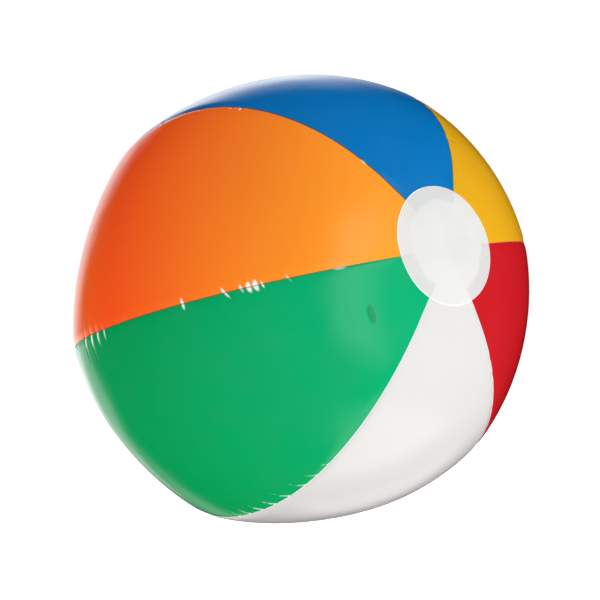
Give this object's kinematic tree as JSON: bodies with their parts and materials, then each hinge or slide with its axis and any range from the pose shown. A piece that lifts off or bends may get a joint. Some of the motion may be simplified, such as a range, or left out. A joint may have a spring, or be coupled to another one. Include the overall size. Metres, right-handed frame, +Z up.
{
  "type": "inflatable beach ball",
  "caption": "Blown-up beach ball of welded coloured film gores with round end discs and a push-in valve whose plug hangs on a strap.",
  "frame": {"origin": "on the ground, straight under the middle of the ball", "axes": "+Z up; the front disc faces -Y and 16.8 degrees up, and the rear disc with the valve faces +Y and down"},
  "size_m": [0.2765, 0.2794, 0.2744],
  "materials": {
    "yellow_film": "glossy printed PVC film",
    "red_film": "glossy printed PVC film",
    "white_film": "glossy printed PVC film",
    "green_film": "glossy printed PVC film",
    "orange_film": "glossy printed PVC film",
    "blue_film": "glossy printed PVC film",
    "disc_film": "slightly see-through white PVC film",
    "clear_valve": "soft milky clear moulded PVC"
  },
  "bodies": {
    "ball": {"gore_yellow": "yellow_film", "gore_red": "red_film", "gore_white": "white_film", "gore_green": "green_film", "gore_orange": "orange_film", "gore_blue": "blue_film", "front_disc": "disc_film", "rear_disc": "disc_film", "valve_flange": "clear_valve", "valve_skirt": "clear_valve"},
    "stem": {"valve_stem": "clear_valve", "valve_strap": "clear_valve"},
    "plug": {"valve_plug": "clear_valve"},
    "flap": {"valve_flap": "clear_valve"}
  },
  "joints": [
    {"name": "stem_slide", "type": "slide", "parent": "ball", "child": "stem", "axis": [0, 0.9573, -0.289], "range_m": [0, 0.014], "deforming": ["valve_skirt"]},
    {"name": "plug_swing", "type": "hinge", "parent": "stem", "child": "plug", "pos_m": [0.0062, 0.13431, 0.09555], "axis": [0, -0.289, -0.9573], "range_deg": [0, 170], "deforming": ["valve_strap"]},
    {"name": "flap_swing", "type": "hinge", "parent": "stem", "child": "flap", "pos_m": [0.0048, 0.12182, 0.09932], "axis": [0, 0.289, 0.9573], "range_deg": [0, 60], "stiffness_Nm_per_rad": 0.00002}
  ]
}
